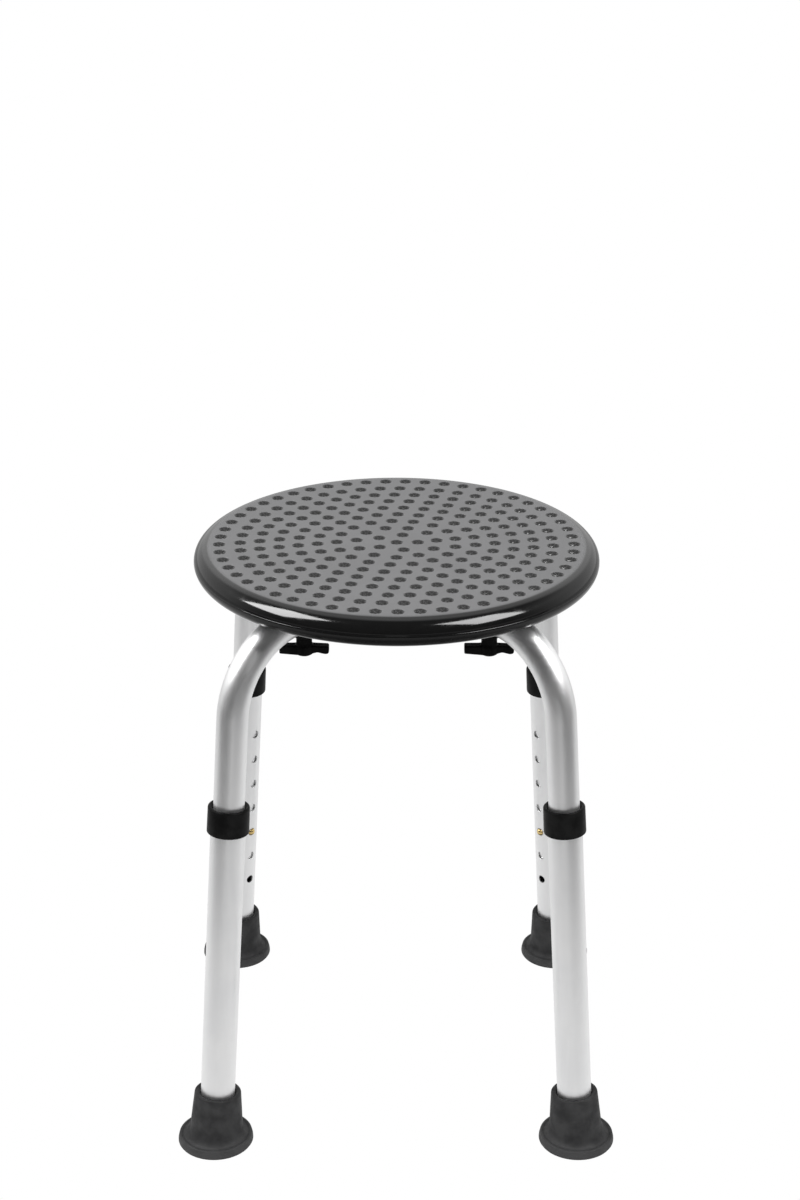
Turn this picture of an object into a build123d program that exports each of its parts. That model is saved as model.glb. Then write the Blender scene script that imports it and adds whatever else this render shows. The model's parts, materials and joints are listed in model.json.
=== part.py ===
from build123d import *
import os
from math import cos, radians, sin, tan

# Round shower stool with four telescoping legs, in millimetres.
# The origin is on the floor under the middle of the seat, +Z is up and -Y is the front.
# Each leg is built in the plane y = 0 with its foot towards +X, then turned to its place.

# ---- Driving dimensions -------------------------------------------------------------------
SEAT_TOP = 483.5            # height of the flat face of the seat
SEAT_RADIUS = 168.2         # widest line of the rolled rim
SEAT_FLAT_RADIUS = 153.5    # flat, dimpled face
SEAT_DEPTH = 24.5           # height of the moulding at its rim
RIM_WIDEST_DEPTH = 12.5     # depth of the widest line below the flat face
SEAT_BASE_RADIUS = 155.0    # flat underside
SEAT_SKIN = 3.0             # side wall of the blow-moulded shell
SEAT_CEILING = 4.5          # wall over the cavity, dimples included
SEAT_FLOOR = 5.5            # wall under the cavity, tube grooves included

DIMPLE_RINGS = 9
DIMPLE_RING_PITCH = 16.0
DIMPLE_FIRST_RADIUS = 17.6
DIMPLE_LAST_RADIUS = 147.0
DIMPLE_START_ANGLE = 73.3
DIMPLE_RADIUS = 5.5
DIMPLE_DEPTH = 1.7

LEG_AZIMUTHS = {"front_right": -45, "back_right": 45, "back_left": 135, "front_left": -135}
FOOT_RADIUS = 215.8         # foot centres from the stool's axis, on the floor
LEG_SPLAY = 4.58            # legs lean outwards, in degrees

UPPER_TUBE_RADIUS = 12.7
LOWER_TUBE_RADIUS = 14.3
TUBE_WALL = 1.2
TUBE_HEIGHT = SEAT_TOP - 35.5   # centreline of the level part of the upper tube
BEND_RADIUS = 70.0
TUBE_INNER_END = 30.0       # from the stool's axis
TUBE_LOWER_END = 102.5      # along the leg, from the floor

HOLE_PITCH = 26.0
HOLE_COUNT = 7
HOLE_RADIUS = 3.75
HOLES_ABOVE_BUTTON = 4
BUTTON_AT = 141.5           # along the leg, from the floor
BUTTON_RADIUS = 3.2
BUTTON_GAP = 0.3            # button to the hole in the upper tube
BUTTON_TIP = 16.6           # from the leg's axis, towards the stool's axis
BUTTON_FLANGE_RADIUS = 4.0
BUTTON_FLANGE_AT = 10.5
BUTTON_FLANGE_THICKNESS = 1.2
BUTTON_DOME = 1.6           # rounding of the button's end

CLIP_STRIP = 0.7            # thickness of the spring strip
CLIP_WIDTH = 6.4
CLIP_BEND = 4.0
CLIP_LENGTH = 36.0          # from the button down to the fold of the V
CLIP_WALL_GAP = 1.1         # back leaf to the upper tube

LOWER_TUBE_BASE = 11.0      # along the leg, from the floor
LOWER_TUBE_TOP = 303.0
COLLAR_BASE = 286.6
COLLAR_HEIGHT = 23.0
COLLAR_RADIUS = 17.3
COLLAR_SLIDE_GAP = 0.3
COLLAR_SHOULDER = 1.5
COLLAR_EDGE = 0.6

FOOT_FLANGE_RADIUS = 31.6
FOOT_TOP = 47.0
FOOT_SLEEVE_TOP_RADIUS = 19.5
FOOT_SLEEVE_BASE_RADIUS = 22.4
FOOT_WASHER_THICKNESS = 2.0
FOOT_WASHER_GAP = 0.1
FLANGE_RIM = 7.8            # raised rim of the flange
FLANGE_TOP = 11.4           # where the flange runs into the sleeve
SLEEVE_LIP = 1.6            # rounding of the sleeve's mouth
GROOVE_RADII = (10, 16, 22)     # rings of grip grooves in the tread
GROOVE_WIDTH = 2.4
GROOVE_DEPTH = 1.3

STUD_AT = 106.0             # from the stool's axis
STUD_RADIUS = 3.9
STUD_HOLE_RADIUS = 4.3
STUD_TOP = SEAT_TOP - 11.0
STUD_END = SEAT_TOP - 63.0
STUD_HEAD_RADIUS = 8.0
STUD_HEAD_THICKNESS = 4.0
STUD_POST_RADIUS = 13.0     # solid post around each stud, inside the shell
STUD_POINT = 0.8            # chamfer of the threaded end
STUD_FIT = 0.05             # moulding to shank

HUB_RADIUS = 26.0           # middle boss under the seat
HUB_POST_RADIUS = 22.0      # solid middle of the shell
SOCKET_START = 16.0         # each socket takes the inner end of one tube
SOCKET_LENGTH = 40.0
SOCKET_WALL = 4.0
SOCKET_ROUNDING = 10.0
RAIL_AT = 107.0             # pairs of low rails keep the tubes from swinging
RAIL_LENGTH = 46.0
RAIL_THICKNESS = 4.6
RAIL_DEPTH = 8.0
RAIL_GAP = 0.3
RAIL_ROUNDING = 1.5
ROOT = 1.0                  # how far an added lump reaches into the body that it grows from

WASHER_RADIUS = 10.0
WASHER_BASE = SEAT_TOP - 51.0
LEVER_TOP = WASHER_BASE - 0.1
LEVER_ARM_TOP = SEAT_TOP - 59.5
LEVER_ARM_BASE = SEAT_TOP - 66.3
LEVER_REACH = 20.2
LEVER_WIDTH = 9.6
LEVER_BULGE = LEVER_ARM_BASE - 1.6
LEVER_EDGE = 0.6            # arms' lower corners are eased by this much
LEVER_CORNER = 3.0
LEVER_NECK_RADIUS = 6.5
LEVER_HUB_RADIUS = 7.4
DIP_START = 5.4             # finger dip of the right arm, from the stud
DIP_MIDDLE = 10.8
DIP_END = LEVER_REACH - 4.0
DIP_RISE = 0.8
INSERT_RADIUS = 5.4
INSERT_LENGTH = 9.5
THREAD_FIT = 0.08           # bush to stud
STUD_CLEARANCE = 1.5        # room under the stud's end, inside the hand nut

CHANNEL_GAP = 0.1           # between a tube and the moulding that holds it


def leg_plane():
    """Floor end of the leg's axis: local +Z runs up the leg, local +X points outwards."""
    lean = radians(LEG_SPLAY)
    return Plane(origin=(FOOT_RADIUS, 0, 0), x_dir=(cos(lean), 0, sin(lean)),
                 z_dir=(-sin(lean), 0, cos(lean)))


def on_leg(shape):
    return leg_plane().location * shape


def turned(shape, azimuth):
    return Rot(0, 0, azimuth) * shape


def disc(radius, bottom, top, centre=(0, 0)):
    """Upright solid cylinder between two heights."""
    height = top - bottom
    return Pos(centre[0], centre[1], bottom + height / 2) * Cylinder(radius, height)


def bar(length, width, bottom, top, rounding):
    """Box along +X, centred on the origin, with its two long lower edges rounded."""
    block = Pos(0, 0, (bottom + top) / 2) * Box(length, width, top - bottom)
    return fillet(block.edges().filter_by(Axis.X).group_by(Axis.Z)[0], rounding)


def level_rod(radius, start, end, height):
    """Cylinder along +X between two distances from the stool's axis."""
    length = end - start
    return Pos(start + length / 2, 0, height) * Rot(0, 90, 0) * Cylinder(radius, length)


# ---- Seat -----------------------------------------------------------------------------------
def seat_profile(inset):
    """Half section of the seat, drawn inset by a wall thickness: flat top, rolled rim, flat base."""
    top = SEAT_TOP - inset
    base = SEAT_TOP - SEAT_DEPTH + inset
    waist = SEAT_TOP - RIM_WIDEST_DEPTH
    widest = SEAT_RADIUS - inset
    with BuildSketch(Plane.XZ) as section:
        with BuildLine():
            Line((0, top), (SEAT_FLAT_RADIUS, top))
            EllipticalCenterArc((SEAT_FLAT_RADIUS, waist), widest - SEAT_FLAT_RADIUS, top - waist,
                                start_angle=0, arc_size=90)
            EllipticalCenterArc((SEAT_BASE_RADIUS, waist), widest - SEAT_BASE_RADIUS, waist - base,
                                start_angle=270, arc_size=90)
            Line((SEAT_BASE_RADIUS, base), (0, base))
            Line((0, base), (0, top))
        make_face()
    return section.sketch


def dimple_centres():
    """Middle dimple, then rings of 5, 11, 17 ... dimples, all starting at one angle."""
    centres = [(0.0, 0.0)]
    for ring in range(1, DIMPLE_RINGS + 1):
        radius = DIMPLE_FIRST_RADIUS + DIMPLE_RING_PITCH * (ring - 1)
        if ring == DIMPLE_RINGS:
            radius = DIMPLE_LAST_RADIUS
        count = 6 * ring - 1
        for step in range(count):
            angle = radians(DIMPLE_START_ANGLE + 360.0 * step / count)
            centres.append((radius * cos(angle), radius * sin(angle)))
    return centres


def tube_channels():
    """Room that the four level tubes take from the seat's underside."""
    rod = level_rod(UPPER_TUBE_RADIUS + CHANNEL_GAP, TUBE_INNER_END - CHANNEL_GAP, FOOT_RADIUS, TUBE_HEIGHT)
    return [turned(rod, azimuth) for azimuth in LEG_AZIMUTHS.values()]


def seat():
    base = SEAT_TOP - SEAT_DEPTH
    hub_base = TUBE_HEIGHT - UPPER_TUBE_RADIUS - SOCKET_WALL
    shell = revolve(seat_profile(0), Axis.Z)
    cavity = revolve(seat_profile(SEAT_SKIN), Axis.Z)
    cavity &= disc(SEAT_RADIUS, base + SEAT_FLOOR, SEAT_TOP - SEAT_CEILING)
    cavity -= disc(HUB_POST_RADIUS, base, SEAT_TOP)
    socket_width = 2 * (UPPER_TUBE_RADIUS + SOCKET_WALL)
    rail_offset = UPPER_TUBE_RADIUS + RAIL_GAP + RAIL_THICKNESS / 2
    outside = [disc(HUB_RADIUS, hub_base, base + ROOT)]
    for azimuth in LEG_AZIMUTHS.values():
        cavity -= turned(disc(STUD_POST_RADIUS, base, SEAT_TOP, (STUD_AT, 0)), azimuth)
        socket = bar(SOCKET_LENGTH, socket_width, hub_base, base + ROOT, SOCKET_ROUNDING)
        outside.append(turned(Pos(SOCKET_START + SOCKET_LENGTH / 2, 0, 0) * socket, azimuth))
        rail = bar(RAIL_LENGTH, RAIL_THICKNESS, base - RAIL_DEPTH, base + ROOT, RAIL_ROUNDING)
        for side in (-1, 1):
            outside.append(turned(Pos(RAIL_AT, side * rail_offset, 0) * rail, azimuth))
    body = shell - cavity
    for piece in outside:
        body += piece
    for channel in tube_channels():
        body -= channel
    for azimuth in LEG_AZIMUTHS.values():
        head_seat = disc(STUD_HEAD_RADIUS, STUD_TOP - STUD_HEAD_THICKNESS, STUD_TOP, (STUD_AT, 0))
        shank = disc(STUD_RADIUS + STUD_FIT, TUBE_HEIGHT, STUD_TOP, (STUD_AT, 0))
        body -= turned(head_seat + shank, azimuth)
    ball_radius = (DIMPLE_RADIUS ** 2 + DIMPLE_DEPTH ** 2) / (2 * DIMPLE_DEPTH)
    dish = Pos(0, 0, SEAT_TOP - DIMPLE_DEPTH + ball_radius) * Sphere(ball_radius)
    dish &= disc(DIMPLE_RADIUS + ROOT, SEAT_TOP - 2 * DIMPLE_DEPTH, SEAT_TOP + ROOT)
    dishes = [Pos(x, y, 0) * dish for x, y in dimple_centres()]
    return body.cut(*dishes)


# ---- Fixings under the seat -----------------------------------------------------------------
def seat_stud():
    """Stud held in the seat: flat head inside the moulding, shank down through the tube."""
    head = disc(STUD_HEAD_RADIUS, STUD_TOP - STUD_HEAD_THICKNESS, STUD_TOP, (STUD_AT, 0))
    shank = disc(STUD_RADIUS, STUD_END, STUD_TOP, (STUD_AT, 0))
    shank = chamfer(shank.edges().group_by(Axis.Z)[0], STUD_POINT)
    return head + shank


def saddle_washer():
    """Round spacer, hollowed on top to sit on the underside of the tube."""
    block = disc(WASHER_RADIUS, WASHER_BASE, TUBE_HEIGHT - UPPER_TUBE_RADIUS / 2, (STUD_AT, 0))
    tube = level_rod(UPPER_TUBE_RADIUS + CHANNEL_GAP, STUD_AT - 2 * WASHER_RADIUS,
                     STUD_AT + 2 * WASHER_RADIUS, TUBE_HEIGHT)
    return block - tube - disc(STUD_HOLE_RADIUS, WASHER_BASE - ROOT, TUBE_HEIGHT, (STUD_AT, 0))


def stud_places(make_one):
    """The same piece under each of the four tubes, as separate solids in one node."""
    return Compound(children=[turned(make_one(), azimuth) for azimuth in LEG_AZIMUTHS.values()])


def stud_centre(azimuth):
    angle = radians(azimuth)
    return STUD_AT * cos(angle), STUD_AT * sin(angle)


def lever_outline():
    """Side view of the two arms: a plain one to the left, a finger dip under the right one."""
    low = LEVER_ARM_BASE - LEVER_EDGE
    soft = LEVER_ARM_BASE + LEVER_EDGE
    with BuildSketch(Plane.XZ) as outline:
        with BuildLine():
            Polyline((-LEVER_REACH, soft), (-LEVER_REACH, LEVER_ARM_TOP), (LEVER_REACH, LEVER_ARM_TOP),
                     (LEVER_REACH, soft), (LEVER_REACH - 2 * LEVER_EDGE, low), (DIP_END, low))
            ThreePointArc((DIP_END, low), (DIP_MIDDLE, LEVER_ARM_BASE + DIP_RISE), (DIP_START, low))
            Polyline((DIP_START, low), (DIP_START / 2, LEVER_BULGE), (-1, LEVER_BULGE),
                     (-LEVER_REACH + 2 * LEVER_EDGE, LEVER_ARM_BASE), (-LEVER_REACH, soft))
        make_face()
    return outline.sketch


def lever_nut(azimuth):
    """Hand nut: two arms along X on a round hub, with a neck up to the saddle washer."""
    x, y = stud_centre(azimuth)
    arms = extrude(lever_outline(), LEVER_WIDTH / 2, both=True)
    arms = fillet(arms.edges().filter_by(Axis.Z), LEVER_CORNER)
    neck = disc(LEVER_NECK_RADIUS, LEVER_ARM_BASE, LEVER_TOP)
    hub = disc(LEVER_HUB_RADIUS, LEVER_BULGE, LEVER_ARM_TOP + LEVER_EDGE)
    nut = arms + neck + hub
    nut -= disc(INSERT_RADIUS, LEVER_TOP - INSERT_LENGTH, LEVER_TOP + ROOT)
    nut -= disc(STUD_HOLE_RADIUS, STUD_END - STUD_CLEARANCE, LEVER_TOP + ROOT)
    return Pos(x, y, 0) * nut


def lever_insert(azimuth):
    """Threaded brass bush moulded into the hand nut."""
    x, y = stud_centre(azimuth)
    bush = disc(INSERT_RADIUS, LEVER_TOP - INSERT_LENGTH, LEVER_TOP)
    bush -= disc(STUD_RADIUS + THREAD_FIT, STUD_END, LEVER_TOP + ROOT)
    return Pos(x, y, 0) * bush


# ---- Legs -----------------------------------------------------------------------------------
def tube_path():
    """Centreline of the upper tube: level under the seat, one bend, then down the leg."""
    lean = radians(LEG_SPLAY)
    knee = FOOT_RADIUS - TUBE_HEIGHT * tan(lean)
    end = (FOOT_RADIUS - TUBE_LOWER_END * sin(lean), 0, TUBE_LOWER_END * cos(lean))
    return FilletPolyline((TUBE_INNER_END, 0, TUBE_HEIGHT), (knee, 0, TUBE_HEIGHT), end,
                          radius=BEND_RADIUS)


def leg_hole(radius, along):
    """Round hole through the wall that faces the stool's axis."""
    return Pos(-LOWER_TUBE_RADIUS, 0, along) * Rot(0, 90, 0) * Cylinder(radius, LOWER_TUBE_RADIUS)


def upper_leg():
    path = tube_path()
    start = Plane(origin=path @ 0, z_dir=path % 0)
    outer = sweep(start * Circle(UPPER_TUBE_RADIUS), path=path)
    inner = sweep(start * Circle(UPPER_TUBE_RADIUS - TUBE_WALL), path=path)
    tube = outer - inner
    tube -= disc(STUD_HOLE_RADIUS, TUBE_HEIGHT - LOWER_TUBE_RADIUS, TUBE_HEIGHT + LOWER_TUBE_RADIUS,
                 (STUD_AT, 0))
    return tube - on_leg(leg_hole(BUTTON_RADIUS + BUTTON_GAP, BUTTON_AT))


def lower_tube():
    tube = disc(LOWER_TUBE_RADIUS, LOWER_TUBE_BASE, LOWER_TUBE_TOP)
    tube -= disc(LOWER_TUBE_RADIUS - TUBE_WALL, LOWER_TUBE_BASE - ROOT, LOWER_TUBE_TOP + ROOT)
    for step in range(HOLE_COUNT):
        along = BUTTON_AT + HOLE_PITCH * (HOLES_ABOVE_BUTTON - step)
        tube -= leg_hole(HOLE_RADIUS, along)
    return on_leg(tube)


def collar():
    """Plastic sleeve on top of the lower tube, with a lip that guides the upper tube."""
    top = COLLAR_BASE + COLLAR_HEIGHT
    ring = disc(COLLAR_RADIUS, COLLAR_BASE, top)
    ring = fillet(ring.edges().group_by(Axis.Z)[-1], COLLAR_SHOULDER)
    ring = fillet(ring.edges().group_by(Axis.Z)[0], COLLAR_EDGE)
    ring -= disc(LOWER_TUBE_RADIUS, COLLAR_BASE - ROOT, LOWER_TUBE_TOP)
    ring -= disc(UPPER_TUBE_RADIUS + COLLAR_SLIDE_GAP, LOWER_TUBE_TOP - ROOT, top + ROOT)
    return on_leg(ring)


def flange_section():
    """Half section of the level flange: tread, upright edge, raised rim and a slope up to the sleeve."""
    edge = FOOT_FLANGE_RADIUS
    foot_of_sleeve = FOOT_SLEEVE_BASE_RADIUS + 0.2
    with BuildSketch(Plane.XZ) as section:
        with BuildLine():
            Polyline((0, 0), (edge - 1.2, 0), (edge, 1.4), (edge, 3.0), (edge - 0.9, FLANGE_RIM - 1.2))
            TangentArc((edge - 0.9, FLANGE_RIM - 1.2), (edge - 2.6, FLANGE_RIM), tangent=(-0.3, 1))
            Polyline((edge - 2.6, FLANGE_RIM), (edge - 4.6, FLANGE_RIM - 0.4),
                     (foot_of_sleeve + 2, FLANGE_TOP - 2.2), (foot_of_sleeve, FLANGE_TOP),
                     (0, FLANGE_TOP), (0, 0))
        make_face()
    return section.sketch


def sleeve_section():
    """Half section of the sleeve, in the leg's own frame, with a rounded lip."""
    lip = SLEEVE_LIP
    top_radius = FOOT_SLEEVE_TOP_RADIUS
    start = FLANGE_TOP / 2
    with BuildSketch(Plane.XZ) as section:
        with BuildLine():
            Polyline((0, start), (FOOT_SLEEVE_BASE_RADIUS + 0.2, start), (top_radius, FOOT_TOP - lip))
            ThreePointArc((top_radius, FOOT_TOP - lip), (top_radius - 0.3 * lip, FOOT_TOP - 0.3 * lip),
                          (top_radius - lip, FOOT_TOP))
            Polyline((top_radius - lip, FOOT_TOP), (0, FOOT_TOP), (0, start))
        make_face()
    return section.sketch


def foot():
    """Rubber foot: level tread and flange on the floor, sleeve tilted with the leg."""
    flange = revolve(flange_section(), Axis.Z)
    for middle in GROOVE_RADII:
        groove = disc(middle + GROOVE_WIDTH / 2, -ROOT, GROOVE_DEPTH)
        flange -= groove - disc(middle - GROOVE_WIDTH / 2, -ROOT, GROOVE_DEPTH)
    sleeve = on_leg(revolve(sleeve_section(), Axis.Z))
    washer_base = LOWER_TUBE_BASE - FOOT_WASHER_THICKNESS
    socket = on_leg(disc(LOWER_TUBE_RADIUS, washer_base, FOOT_TOP + ROOT))
    return Pos(FOOT_RADIUS, 0, 0) * flange + sleeve - socket


def foot_washer():
    """Steel disc that keeps the tube's end from cutting through the rubber."""
    washer_base = LOWER_TUBE_BASE - FOOT_WASHER_THICKNESS
    return on_leg(disc(LOWER_TUBE_RADIUS - FOOT_WASHER_GAP, washer_base, LOWER_TUBE_BASE))


# ---- Height lock ----------------------------------------------------------------------------
def snap_button():
    """Domed brass pin, with a flange that stops it inside the upper tube."""
    flange_base = BUTTON_FLANGE_AT - BUTTON_FLANGE_THICKNESS
    pin = disc(BUTTON_RADIUS, flange_base, BUTTON_TIP)
    pin = fillet(pin.edges().group_by(Axis.Z)[-1], BUTTON_DOME)
    flange = disc(BUTTON_FLANGE_RADIUS, flange_base, BUTTON_FLANGE_AT)
    return on_leg(Pos(0, 0, BUTTON_AT) * Rot(0, -90, 0) * (pin + flange))


def spring_clip():
    """Flat steel spring bent into a V: one leaf carries the button, the other bears on the tube."""
    leaf = -(BUTTON_FLANGE_AT - BUTTON_FLANGE_THICKNESS) + CLIP_STRIP / 2
    far_wall = UPPER_TUBE_RADIUS - TUBE_WALL - CLIP_STRIP / 2 - CLIP_WALL_GAP
    path = FilletPolyline((leaf, BUTTON_AT + 7), (leaf, BUTTON_AT - 8), (0.6, BUTTON_AT - CLIP_LENGTH),
                          (far_wall, BUTTON_AT - 4), (far_wall, BUTTON_AT + 9), radius=CLIP_BEND)
    side = Plane.XZ * trace(path, CLIP_STRIP)
    return on_leg(extrude(side, CLIP_WIDTH / 2, both=True))


# ---- Write every node -----------------------------------------------------------------------
def write(shape, node):
    export_step(shape, f"parts/{node}.step")


def main():
    os.makedirs("parts", exist_ok=True)
    write(seat(), "seat")
    write(stud_places(seat_stud), "seat_studs")
    write(stud_places(saddle_washer), "saddle_washers")
    makers = {"upper_leg": upper_leg, "lower_tube": lower_tube, "collar": collar, "foot": foot,
              "foot_washer": foot_washer, "snap_button": snap_button, "spring_clip": spring_clip}
    for kind, make_piece in makers.items():
        piece = make_piece()
        for place, azimuth in LEG_AZIMUTHS.items():
            write(turned(piece, azimuth), f"{kind}_{place}")
    for place, azimuth in LEG_AZIMUTHS.items():
        write(lever_nut(azimuth), f"lever_nut_{place}")
        write(lever_insert(azimuth), f"lever_insert_{place}")


main()
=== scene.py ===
import json
from math import acos, atan2, cos, exp, hypot, pi, radians, sin, sqrt, tan

import bmesh
import bpy
from mathutils import Matrix, Vector, geometry


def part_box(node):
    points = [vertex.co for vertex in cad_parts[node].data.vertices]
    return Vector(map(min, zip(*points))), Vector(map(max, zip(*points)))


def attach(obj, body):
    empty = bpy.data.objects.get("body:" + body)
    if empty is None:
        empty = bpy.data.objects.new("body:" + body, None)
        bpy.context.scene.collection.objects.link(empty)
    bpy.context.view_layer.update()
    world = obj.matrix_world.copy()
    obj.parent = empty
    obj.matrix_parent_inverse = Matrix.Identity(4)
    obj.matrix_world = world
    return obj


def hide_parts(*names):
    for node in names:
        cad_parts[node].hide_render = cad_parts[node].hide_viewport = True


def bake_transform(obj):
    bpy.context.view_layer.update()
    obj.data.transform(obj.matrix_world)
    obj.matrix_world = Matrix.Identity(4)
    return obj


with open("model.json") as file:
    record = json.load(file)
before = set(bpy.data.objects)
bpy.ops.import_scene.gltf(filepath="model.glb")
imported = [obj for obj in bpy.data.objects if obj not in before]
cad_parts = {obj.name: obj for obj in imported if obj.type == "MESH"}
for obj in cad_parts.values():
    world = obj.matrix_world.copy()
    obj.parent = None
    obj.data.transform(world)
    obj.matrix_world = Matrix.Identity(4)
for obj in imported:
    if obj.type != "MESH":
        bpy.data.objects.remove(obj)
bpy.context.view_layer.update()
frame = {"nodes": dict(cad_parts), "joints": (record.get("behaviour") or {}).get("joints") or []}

# Round shower stool: visible meshes, materials, floor, light and camera, in metres.
MM = 0.001
SHARP_ANGLE = 32          # degrees; edges sharper than this stay crisp
WELD_DISTANCE = 1e-6
CUT_TOLERANCE = 1e-8      # of Blender's flat cutting
PLACES = ("front_right", "back_right", "back_left", "front_left")
scene = bpy.context.scene
nodes = frame["nodes"]
joints = {joint["name"]: joint for joint in frame["joints"]}


# ---- Mesh helpers -----------------------------------------------------------------------------
def mesh_object(name, points, faces, sharp_angle):
    """Smooth-shaded mesh, split only at edges sharper than sharp_angle degrees."""
    mesh = bpy.data.meshes.new(name)
    mesh.from_pydata([tuple(p) for p in points], [], faces)
    mesh.validate()
    mesh.polygons.foreach_set("use_smooth", [True] * len(mesh.polygons))
    mesh.set_sharp_from_angle(angle=radians(sharp_angle))
    mesh.update()
    obj = bpy.data.objects.new(name, mesh)
    scene.collection.objects.link(obj)
    return obj


def weld(obj):
    """Merges doubled points and turns every closed shell's faces outwards."""
    work = bmesh.new()
    work.from_mesh(obj.data)
    bmesh.ops.remove_doubles(work, verts=work.verts, dist=WELD_DISTANCE)
    bmesh.ops.dissolve_degenerate(work, edges=work.edges, dist=WELD_DISTANCE)
    bmesh.ops.recalc_face_normals(work, faces=work.faces)
    work.to_mesh(obj.data)
    work.free()


def joined(name, parts, sharp_angle=SHARP_ANGLE):
    """One object from several point-and-face lists."""
    points, faces = [], []
    for part_points, part_faces in parts:
        start = len(points)
        points += list(part_points)
        faces += [tuple(i + start for i in face) for face in part_faces]
    obj = mesh_object(name, points, faces, sharp_angle)
    weld(obj)
    obj.data.set_sharp_from_angle(angle=radians(sharp_angle))
    return obj


def rounded(corners, steps=5):
    """Polyline with its corners rounded: corners are (x, z) or (x, z, radius)."""
    line = []
    for i, corner in enumerate(corners):
        radius = corner[2] if len(corner) > 2 else 0
        here = Vector(corner[:2])
        if radius == 0 or i in (0, len(corners) - 1):
            line.append(here)
            continue
        back = (Vector(corners[i - 1][:2]) - here).normalized()
        ahead = (Vector(corners[i + 1][:2]) - here).normalized()
        half = acos(max(-1, min(1, back.dot(ahead)))) / 2
        cut = radius / tan(half)
        centre = here + (back + ahead).normalized() * radius / sin(half)
        start = here + back * cut - centre
        end = here + ahead * cut - centre
        turn = start.angle(end)
        for step in range(steps + 1):
            t = step / steps
            a, b = sin((1 - t) * turn) / sin(turn), sin(t * turn) / sin(turn)
            line.append(centre + start * a + end * b)
    return line


def ellipse_arc(centre, half_width, half_height, start, end, steps):
    """Points of an ellipse's arc between two angles in degrees, both ends included."""
    return [Vector((centre[0] + half_width * cos(radians(start + (end - start) * i / steps)),
                    centre[1] + half_height * sin(radians(start + (end - start) * i / steps))))
            for i in range(steps + 1)]


def rings_to_faces(rows, columns, closed=True, capped=False):
    """Four-sided faces between rows of points, with a flat face on both ends if capped."""
    faces = []
    last = columns if closed else columns - 1
    for row in range(rows - 1):
        for column in range(last):
            after = (column + 1) % columns
            faces.append((row * columns + column, row * columns + after,
                          (row + 1) * columns + after, (row + 1) * columns + column))
    if capped:
        faces.append(tuple(range(columns - 1, -1, -1)))
        faces.append(tuple((rows - 1) * columns + c for c in range(columns)))
    return faces


def lathe(profile, segments, place=Matrix.Identity(4)):
    """Points and faces of (radius, height) pairs turned about local Z."""
    points = []
    for radius, height in profile:
        for column in range(segments):
            angle = 2 * pi * column / segments
            points.append(place @ Vector((radius * cos(angle), radius * sin(angle), height)))
    return points, rings_to_faces(len(profile), segments)


def tube_along(path, radius, segments):
    """Round tube along points that lie in one upright plane, with no twist."""
    points = []
    across = (path[-1] - path[0]).cross(Vector((0, 0, 1))).normalized()
    for i, here in enumerate(path):
        before = path[max(i - 1, 0)]
        after = path[min(i + 1, len(path) - 1)]
        along = (after - before).normalized()
        lift = across.cross(along).normalized()
        for column in range(segments):
            angle = 2 * pi * column / segments
            points.append(here + lift * radius * cos(angle) + across * radius * sin(angle))
    return points, rings_to_faces(len(path), segments)


def cut_sheet(corners, edges, plain, per_hole):
    """Triangles of a flat sheet; after the plain corners, every per_hole corners outline one hole."""
    flat, _, triangles, sources, _, _ = geometry.delaunay_2d_cdt(corners, edges, [], 0, CUT_TOLERANCE, True)
    owner = [(min(source) - plain) // per_hole if source and min(source) >= plain else -1 - i
             for i, source in enumerate(sources)]
    kept = [tuple(t) for t in triangles if len({owner[i] for i in t}) > 1]
    return flat, kept


def drilled_tube(radius, wall, bottom, top, holes, hole_radius, columns, place):
    """Tube along local Z with round holes on its -X side: a flat sheet is cut and rolled up."""
    width = 2 * pi * radius
    rim = 28
    step = 2 * pi / rim
    seam_width = 1e-7

    def in_hole(point):
        """Whether a point of the flat sheet is inside one of the holes' many-sided outlines."""
        for height in holes:
            across, lift = point.x - width / 2, point.y - height
            turn = atan2(lift, across) / step
            if hypot(across, lift) * cos((turn - round(turn)) * step) < hole_radius * cos(step / 2):
                return True
        return False

    corners, edges = [], []
    for column in range(columns + 1):
        u = width * column / columns
        corners += [Vector((u, bottom)), Vector((u, top))]
        edges.append((2 * column, 2 * column + 1))
        if column:
            edges += [(2 * column - 2, 2 * column), (2 * column - 1, 2 * column + 1)]
    for height in holes:
        start = len(corners)
        for i in range(rim):
            angle = step * (i + 0.5)
            corners.append(Vector((width / 2 + hole_radius * cos(angle),
                                   height + hole_radius * sin(angle))))
            edges.append((start + i, start + (i + 1) % rim))
    flat, _, triangles, _, _, _ = geometry.delaunay_2d_cdt(corners, edges, [], 0, CUT_TOLERANCE, False)
    kept = [tuple(t) for t in triangles if not in_hole(sum((flat[i] for i in t), Vector((0, 0))) / 3)]
    points = []
    for depth in (0, wall):
        for u, v in flat:
            angle = u / radius
            points.append(place @ Vector(((radius - depth) * cos(angle), (radius - depth) * sin(angle), v)))
    count = len(flat)
    faces = kept + [tuple(i + count for i in reversed(face)) for face in kept]
    uses = {}
    for face in kept:
        for i, a in enumerate(face):
            b = face[(i + 1) % len(face)]
            uses.setdefault((min(a, b), max(a, b)), []).append((a, b))
    for pairs in uses.values():
        if len(pairs) == 1:
            a, b = pairs[0]
            on_seam = all(min(flat[i].x, width - flat[i].x) < seam_width for i in (a, b))
            if not on_seam:
                faces.append((b, a, a + count, b + count))
    return points, faces


# ---- What the frame says ----------------------------------------------------------------------
def node_points(node):
    return [v.co for v in nodes[node].data.vertices]


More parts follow.
